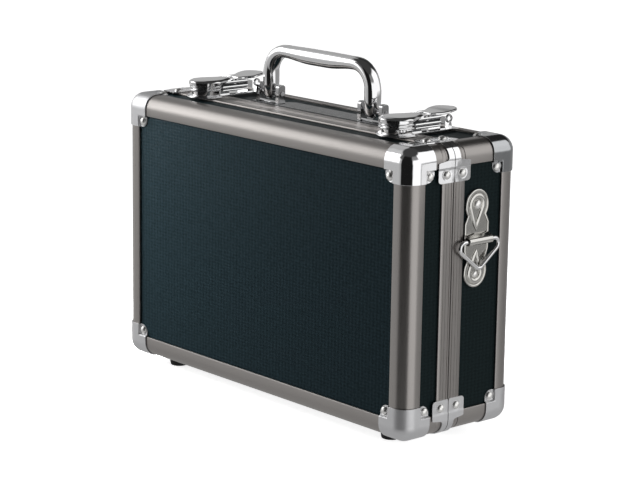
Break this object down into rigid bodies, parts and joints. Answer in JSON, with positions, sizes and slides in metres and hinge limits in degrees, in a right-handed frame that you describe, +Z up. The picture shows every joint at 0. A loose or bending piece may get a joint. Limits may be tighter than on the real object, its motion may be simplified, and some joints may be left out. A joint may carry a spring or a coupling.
{
  "type": "attache case",
  "caption": "Small hard attache case with laminated panels, aluminium edge profiles, riveted chrome corners, draw latches, folding handle and strap rings.",
  "frame": {"origin": "centre of the box's footprint, on the surface that the feet stand on", "axes": "+X along the case's length, +Y from the lid's face to the base's rear face, +Z up through the handle"},
  "size_m": [0.3322, 0.1102, 0.2612],
  "materials": {
    "laminate": "black board with a fine woven emboss, satin",
    "satin_aluminium": "satin anodised, warm grey",
    "chrome": "bright nickel or chrome plate",
    "steel": "plated steel",
    "rubber": "matt black",
    "foam": "dark grey foam with a napped face"
  },
  "bodies": {
    "base": {"base_rear_panel": "laminate", "base_left_panel": "laminate", "base_right_panel": "laminate", "base_top_panel": "laminate", "base_bottom_panel": "laminate", "base_edge_frame": "satin_aluminium", "base_seam_frame": "satin_aluminium", "base_foam_pad": "foam", "base_corner_bottom_left": "chrome", "base_seam_bracket_bottom_left": "chrome", "base_corner_bottom_right": "chrome", "base_seam_bracket_bottom_right": "chrome", "base_corner_top_left": "chrome", "base_seam_bracket_top_left": "chrome", "base_corner_top_right": "chrome", "base_seam_bracket_top_right": "chrome", "base_foot_left": "rubber", "base_foot_right": "rubber", "base_hinge_leaf": "steel", "hinge_pin": "steel", "handle_plate": "satin_aluminium", "handle_bracket_left": "chrome", "handle_pin_left": "steel", "latch_base_left": "chrome", "ring_bracket_left": "chrome", "handle_bracket_right": "chrome", "handle_pin_right": "steel", "latch_base_right": "chrome", "ring_bracket_right": "chrome"},
    "lid": {"lid_front_panel": "laminate", "lid_left_panel": "laminate", "lid_right_panel": "laminate", "lid_top_panel": "laminate", "lid_bottom_panel": "laminate", "lid_edge_frame": "satin_aluminium", "lid_seam_frame": "satin_aluminium", "lid_foam_pad": "foam", "lid_corner_bottom_left": "chrome", "lid_seam_bracket_bottom_left": "chrome", "lid_corner_bottom_right": "chrome", "lid_seam_bracket_bottom_right": "chrome", "lid_corner_top_left": "chrome", "lid_seam_bracket_top_left": "chrome", "lid_corner_top_right": "chrome", "lid_seam_bracket_top_right": "chrome", "lid_foot_left": "rubber", "lid_foot_right": "rubber", "lid_hinge_leaf": "steel", "latch_catch_left": "chrome", "latch_catch_right": "chrome"},
    "handle": {"handle": "chrome"},
    "latch_lever_left": {"latch_lever_left": "chrome"},
    "latch_claw_left": {"latch_claw_left": "chrome"},
    "strap_ring_left": {"strap_ring_left": "chrome"},
    "latch_lever_right": {"latch_lever_right": "chrome"},
    "latch_claw_right": {"latch_claw_right": "chrome"},
    "strap_ring_right": {"strap_ring_right": "chrome"}
  },
  "joints": [
    {"name": "lid_hinge", "type": "hinge", "parent": "base", "child": "lid", "pos_m": [0, -0.01015, 0.0052], "axis": [1, 0, 0], "range_deg": [0, 95]},
    {"name": "handle_fold", "type": "hinge", "parent": "base", "child": "handle", "pos_m": [0, 0.0075, 0.223], "axis": [1, 0, 0], "range_deg": [-88, 88]},
    {"name": "latch_lift_left", "type": "hinge", "parent": "base", "child": "latch_lever_left", "pos_m": [-0.1076, -0.0025, 0.2215], "axis": [1, 0, 0], "range_deg": [0, 90]},
    {"name": "claw_swing_left", "type": "hinge", "parent": "latch_lever_left", "child": "latch_claw_left", "pos_m": [-0.1076, 0.0075, 0.2258], "axis": [1, 0, 0], "range_deg": [-103.5, 0]},
    {"name": "ring_swing_left", "type": "hinge", "parent": "base", "child": "strap_ring_left", "pos_m": [-0.1632, 0.0135, 0.1453], "axis": [0, 1, 0], "range_deg": [0, 160]},
    {"name": "latch_lift_right", "type": "hinge", "parent": "base", "child": "latch_lever_right", "pos_m": [0.1076, -0.0025, 0.2215], "axis": [1, 0, 0], "range_deg": [0, 90]},
    {"name": "claw_swing_right", "type": "hinge", "parent": "latch_lever_right", "child": "latch_claw_right", "pos_m": [0.1076, 0.0075, 0.2258], "axis": [1, 0, 0], "range_deg": [-103.5, 0]},
    {"name": "ring_swing_right", "type": "hinge", "parent": "base", "child": "strap_ring_right", "pos_m": [0.1632, 0.0135, 0.1453], "axis": [0, -1, 0], "range_deg": [0, 160]}
  ],
  "couplings": [
    {"joint": "claw_swing_left", "follows": "latch_lift_left", "ratio": -1.15},
    {"joint": "claw_swing_right", "follows": "latch_lift_right", "ratio": -1.15}
  ]
}
